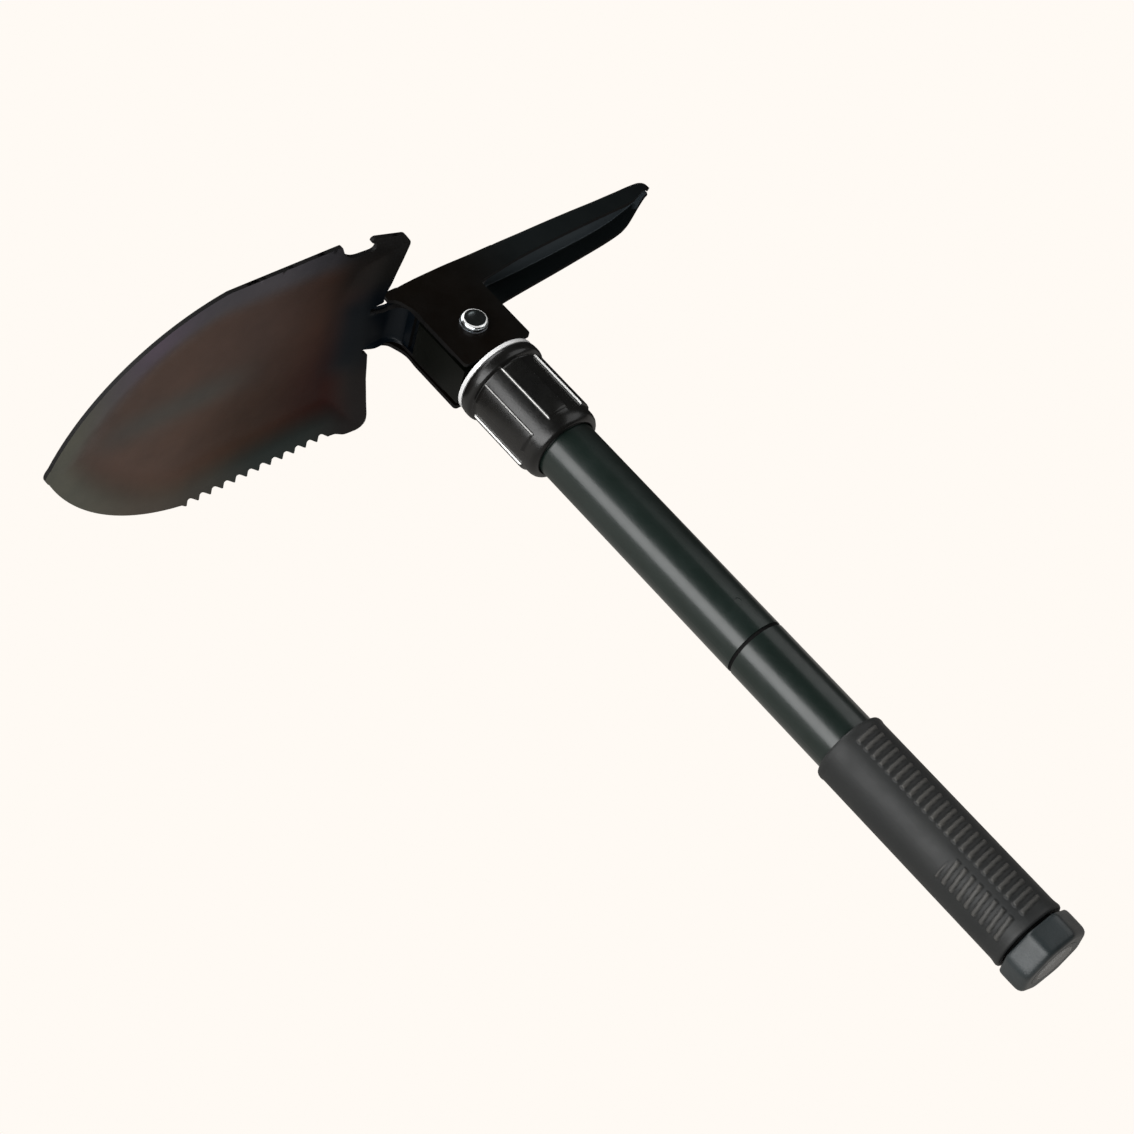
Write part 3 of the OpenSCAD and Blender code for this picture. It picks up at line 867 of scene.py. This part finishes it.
def grip_azimuths():
    """Azimuths of the grip's mesh, close together at the ends of the ribs."""
    marks = set()
    for middle, _ in RIB_ROWS:
        for off in (0, 5, 10, 14, 16, 17.5, 18.5, 19.5, 20.5, 22):
            marks |= {round((middle + off) % 360, 3), round((middle - off) % 360, 3)}
    marks |= {float(a) for a in range(0, 360, 6)}
    out = []
    for a in sorted(marks):
        if not out or a - out[-1] > 0.9:
            out.append(a)
    return out


def grip_parts():
    """A sleeve with rows of short ribs and a rounded bead at each end."""
    length = grip_end - grip_top
    first = grip_top + 4.4

    def rib(depth, azimuth):
        share = (depth - grip_top) / length
        best = 0.0
        for middle, start in RIB_ROWS:
            off = (azimuth - middle + 180) % 360 - 180
            if share < start or share > 0.955 or abs(off) > 24:
                continue
            lean = 0.55 * off / RIB_HALF
            phase = ((depth - first + lean) / RIB_PITCH + 0.5) % 1 - 0.5
            ridge = smooth((0.30 - abs(phase)) / 0.17)
            best = max(best, ridge * smooth((RIB_HALF + 1.5 - abs(off)) / 3))
        return best

    def surface(depth):
        return lambda a: GRIP_R + RIB_HEIGHT * rib(depth, a)

    outer = [(grip_top, 11.6), (grip_top + 0.05, 12.2), (grip_top + 0.3, 12.75), (grip_top + 0.8, 13.0),
             (grip_top + 1.6, 13.12), (grip_top + 2.4, 13.0)]
    depth = grip_top + 2.8
    while depth < grip_end - 3.2:
        outer.append((depth, surface(depth)))
        depth += 0.41
    outer += [(grip_end - 2.4, 13.0), (grip_end - 1.6, 13.15), (grip_end - 0.8, 13.2),
              (grip_end - 0.3, 13.0), (grip_end, 12.5)]
    bore = [(grip_end, 11.02), (grip_top, 11.02)]
    return rings(outer + bore, grip_azimuths())


grip = piece("grip_rubber_sleeve", grip_parts(), "handle_bottom",
             tinted_paint("grip_rubber", "paint", 0.46, 0.62, 0.32), "grip_sleeve")


# The paler colour on the ribs' crests is a painted highlight.
RUBBER, RUBBER_CREST_HIGHLIGHT = (0.014, 0.015, 0.015), (0.048, 0.047, 0.044)


def rubber_colour(x, y, z):
    """Rubber painted paler on the crests of its ribs, a painted highlight."""
    return mixed(RUBBER, RUBBER_CREST_HIGHLIGHT, smooth((math.hypot(x, y) - 13.1) / 0.55))


paint_vertices(grip, "paint", rubber_colour)

# ---------------------------------------------------------------- the end cap
cap_low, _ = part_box("end_cap")
CAP_SIDES = 8
CAP_AZIMUTHS = 96
# Azimuth of a corner of the octagon.
CAP_TURN = 102.4
# How sharply the corners are worn round.
CORNER_BLEND = 0.12
CAP_TOP = grip_end + 0.95
BUTT = (PIVOT.x - cap_low.x) / MM
WELL_R, SPIGOT_BORE, THREAD_ROOT, THREAD_CREST = 9.03, 6.4, 7.5, 8.0


def cap_radius(azimuth, corner):
    """An octagon across corners, with its corners worn round."""
    step = 360 / CAP_SIDES
    off = math.radians((azimuth - CAP_TURN) % step - step / 2)
    flat = corner * math.cos(math.radians(step / 2)) / math.cos(off)
    blend = math.exp(-flat / CORNER_BLEND) + math.exp(-(corner - 0.25) / CORNER_BLEND)
    return -math.log(blend) * CORNER_BLEND + CORNER_BLEND * 0.35


def cap_parts():
    """The octagonal cap, the well for the compass and the threaded spigot."""
    azimuths = [CAP_TURN + i * 360 / CAP_AZIMUTHS for i in range(CAP_AZIMUTHS)]

    def wall(corner):
        return lambda a: cap_radius(a, corner)

    outer = [(CAP_TOP, 12.0), (CAP_TOP + 0.03, wall(13.1)), (CAP_TOP + 0.25, wall(13.6)),
             (CAP_TOP + 0.8, wall(13.9)), (CAP_TOP + 1.8, wall(14.0)), (CAP_TOP + 4.5, wall(14.0)),
             (BUTT - 2.4, wall(13.95)), (BUTT - 1.4, wall(13.75)), (BUTT - 0.6, wall(13.3)),
             (BUTT - 0.15, wall(12.7)), (BUTT, wall(12.1)), (BUTT, 9.4), (BUTT - 0.05, 9.15),
             (BUTT - 0.3, WELL_R)]
    well = [(BUTT - 7.2, WELL_R), (BUTT - 7.2, SPIGOT_BORE)]
    spigot_tip = [(CAP_TOP - 12, SPIGOT_BORE), (CAP_TOP - 12.7, 6.8), (CAP_TOP - 12.7, THREAD_ROOT),
                  (CAP_TOP - 12, THREAD_CREST)]
    thread = []
    depth = CAP_TOP - 11.4
    while depth < CAP_TOP - 2.4:
        thread += [(depth, THREAD_CREST), (depth + 0.5, THREAD_ROOT), (depth + 1.0, THREAD_CREST)]
        depth += 2.0
    spigot_root = [(CAP_TOP - 0.9, THREAD_CREST), (CAP_TOP - 0.9, 7.9), (CAP_TOP, THREAD_CREST)]
    return rings(outer + well + spigot_tip + thread + spigot_root, azimuths)


piece("cap_shell", cap_parts(), "cap_body", cap_plastic, "end_cap")

# ---------------------------------------------------------------- the rivet's heads
HEAD_HEIGHT, SHANK_R = 2.24, 3.0
# The bright ring round the dished middle of each head is a painted highlight.
RING_FROM, RING_TO = 3.85, 4.3


def rivet_parts():
    """A dished round head each side on one shank."""
    head = [(0.0, 4.6), (0.3, 4.85), (0.9, 4.9), (1.5, 4.7), (1.95, 4.3), (2.2, 3.8), (HEAD_HEIGHT, 3.4),
            (2.1, 2.6), (1.9, 1.5), (1.84, 0.02)]
    reach = (rivet_high.z - PIVOT.z) / MM
    base = reach - HEAD_HEIGHT
    stations = [(base + d, r) for d, r in reversed(head)] + [(base, SHANK_R), (-base, SHANK_R)]
    stations += [(-base - d, r) for d, r in head]
    verts, faces = rings(stations, [i * 7.5 for i in range(48)], closed=False)
    return [Vector((v.x, -v.z, v.y)) for v in verts], faces


rivet = piece("rivet_heads", rivet_parts(), "handle_top", chrome, "pivot_rivet")
rivet.data.materials.append(plate_and_highlight)
rivet.data.materials.append(dish_painted_shade)
# The ring's faces take the bright paint as a painted highlight, and the dished middle the darker metal as
# painted shade.
for face in rivet.data.polygons:
    x, _, z = in_mech(face.center)
    radius = math.hypot(x, z)
    if RING_FROM < radius < RING_TO:
        face.material_index = 1
    elif radius < RING_FROM:
        face.material_index = 2

# ---------------------------------------------------------------- finishes of the CAD nodes
# Each node's material, and the width of its softened edges in mm.
FINISHES = {"yoke": (yoke_paint, 0.6), "pivot_bush": (brass, 0.1), "pivot_washers": (zinc, 0.08),
            "yoke_pins": (zinc, 0.15), "thrust_washer": (plate_and_highlight, 0.3), "upper_tube": (tube_paint, 0.15),
            "coupling_nut": (zinc, 0.15), "coupling_pins": (tube_paint, 0.02),
            "joint_washer": (seal_rubber, 0.3), "coupling_stud": (zinc, 0.15),
            "lower_tube": (tube_paint, 0.25), "cap_seat": (zinc, 0.15), "cap_o_ring": (seal_rubber, 0.05),
            "compass_case": (cap_plastic, 0.1), "compass_dial": (plate_and_highlight, 0.04),
            "compass_pivot": (zinc, 0.03), "compass_needle": (enamel, 0.05),
            "compass_lens": (lens, 0.1), "compass_ring": (cap_plastic, 0.1)}
for name, (look, width) in FINISHES.items():
    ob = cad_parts[name]
    ob.data.materials.clear()
    ob.data.materials.append(look)
    ob.data.shade_smooth()
    soften(ob, width, 3, 30)

# ---------------------------------------------------------------- camera
# The reference view's place, direction, roll and lens, found by a least-squares fit.
CAMERA_AT = Vector((-118.0, 470.1, 657.7)) * MM
CAMERA_LOOKS = Vector((0.3665, -0.5160, -0.7742))
CAMERA_UP = Vector((0.6825, -0.4165, 0.6006))
CAMERA_LENS = 84.2


def make_camera():
    """A view down at the blade's grip side, rolled so that the handle runs down to the right."""
    back = -CAMERA_LOOKS.normalized()
    right = CAMERA_UP.cross(back).normalized()
    up = back.cross(right)
    data = bpy.data.cameras.new("camera")
    data.lens = CAMERA_LENS
    data.sensor_width = 36.0
    data.clip_start, data.clip_end = 0.01, 20.0
    camera = bpy.data.objects.new("camera", data)
    turn = Matrix((right, up, back)).transposed()
    camera.matrix_world = Matrix.Translation(CAMERA_AT) @ turn.to_4x4()
    bpy.context.scene.collection.objects.link(camera)
    bpy.context.scene.camera = camera


make_camera()

# ---------------------------------------------------------------- studio
CREAM = (1.0, 0.956, 0.905, 1)
PAPER_GLOW = 0.42


def area(name, at, aim, width, height, power):
    """A soft rectangular light."""
    data = bpy.data.lights.new(name, "AREA")
    data.shape = "RECTANGLE"
    data.size, data.size_y = width, height
    data.energy = power
    ob = bpy.data.objects.new(name, data)
    at, aim = Vector(at), Vector(aim)
    ob.matrix_world = Matrix.Translation(at) @ (aim - at).to_track_quat("-Z", "Y").to_matrix().to_4x4()
    bpy.context.scene.collection.objects.link(ob)


def backdrop(name, seen, lit):
    """Even cream to the eye, and a dimmer glow for what it lights."""
    m, nodes, links, _ = new_material(name)
    nodes.clear()
    out = nodes.new("ShaderNodeOutputMaterial")
    mix = nodes.new("ShaderNodeMixShader")
    ray = nodes.new("ShaderNodeLightPath")
    eye = shader_node(nodes, "ShaderNodeEmission", Color=CREAM, Strength=seen)
    glow = shader_node(nodes, "ShaderNodeEmission", Color=CREAM, Strength=lit)
    glow.name = "glow"
    links.new(ray.outputs["Is Camera Ray"], mix.inputs[0])
    links.new(glow.outputs[0], mix.inputs[1])
    links.new(eye.outputs[0], mix.inputs[2])
    links.new(mix.outputs[0], out.inputs[0])
    return m


def pool_light(m):
    """Under the blade the paper glows less near the handle and more near the point."""
    nodes, links = m.node_tree.nodes, m.node_tree.links
    where = nodes.new("ShaderNodeSeparateXYZ")
    links.new(nodes.new("ShaderNodeTexCoord").outputs["Object"], where.inputs[0])
    reach = {"From Min": -0.05, "From Max": 0.12, "To Min": 0.03, "To Max": 0.62}
    along = shader_node(nodes, "ShaderNodeMapRange", **reach)
    links.new(where.outputs["Y"], along.inputs["Value"])
    head = shader_node(nodes, "ShaderNodeMapRange", **{"From Min": 0.20, "From Max": 0.26})
    links.new(where.outputs["X"], head.inputs["Value"])
    both = nodes.new("ShaderNodeMix")
    both.inputs["A"].default_value = PAPER_GLOW
    links.new(head.outputs["Result"], both.inputs["Factor"])
    links.new(along.outputs["Result"], both.inputs["B"])
    links.new(both.outputs["Result"], nodes["glow"].inputs["Strength"])


def make_world():
    """Cream to the eye, and a faint light from all sides."""
    world = bpy.data.worlds.new("studio")
    bpy.context.scene.world = world
    world.use_nodes = True
    nodes, links = world.node_tree.nodes, world.node_tree.links
    background = nodes["Background"]
    background.inputs["Color"].default_value = CREAM
    ray = nodes.new("ShaderNodeLightPath")
    level = shader_node(nodes, "ShaderNodeMapRange", **{"To Min": 0.05, "To Max": 1.0})
    links.new(ray.outputs["Is Camera Ray"], level.inputs["Value"])
    links.new(level.outputs["Result"], background.inputs["Strength"])


# The paper lies this far below the object, in mm, and reaches this far each way, in m.
FLOOR_DROP, FLOOR_REACH = 12.0, 6
floor_z = cad_low.z - FLOOR_DROP * MM
floor_corners = [(-FLOOR_REACH, -FLOOR_REACH), (FLOOR_REACH, -FLOOR_REACH),
                 (FLOOR_REACH, FLOOR_REACH), (-FLOOR_REACH, FLOOR_REACH)]
floor = mesh_object("floor", [Vector((x, y, floor_z)) for x, y in floor_corners], [(0, 1, 2, 3)])
floor.data.materials.append(backdrop("floor_paper", 1.0, PAPER_GLOW))
pool_light(floor.data.materials[0])

make_world()
area("key_box", (0.10, 0.66, 0.36), (0.16, 0.0, 0.0), 1.3, 0.5, 11.0)
area("fill_box", (0.00, -0.55, 0.62), (0.08, 0.0, 0.0), 0.9, 0.7, 2.4)
area("far_box", (0.95, 0.15, 0.30), (0.30, 0.0, 0.0), 0.8, 0.6, 5.0)

bpy.context.scene.view_settings.view_transform = "Standard"
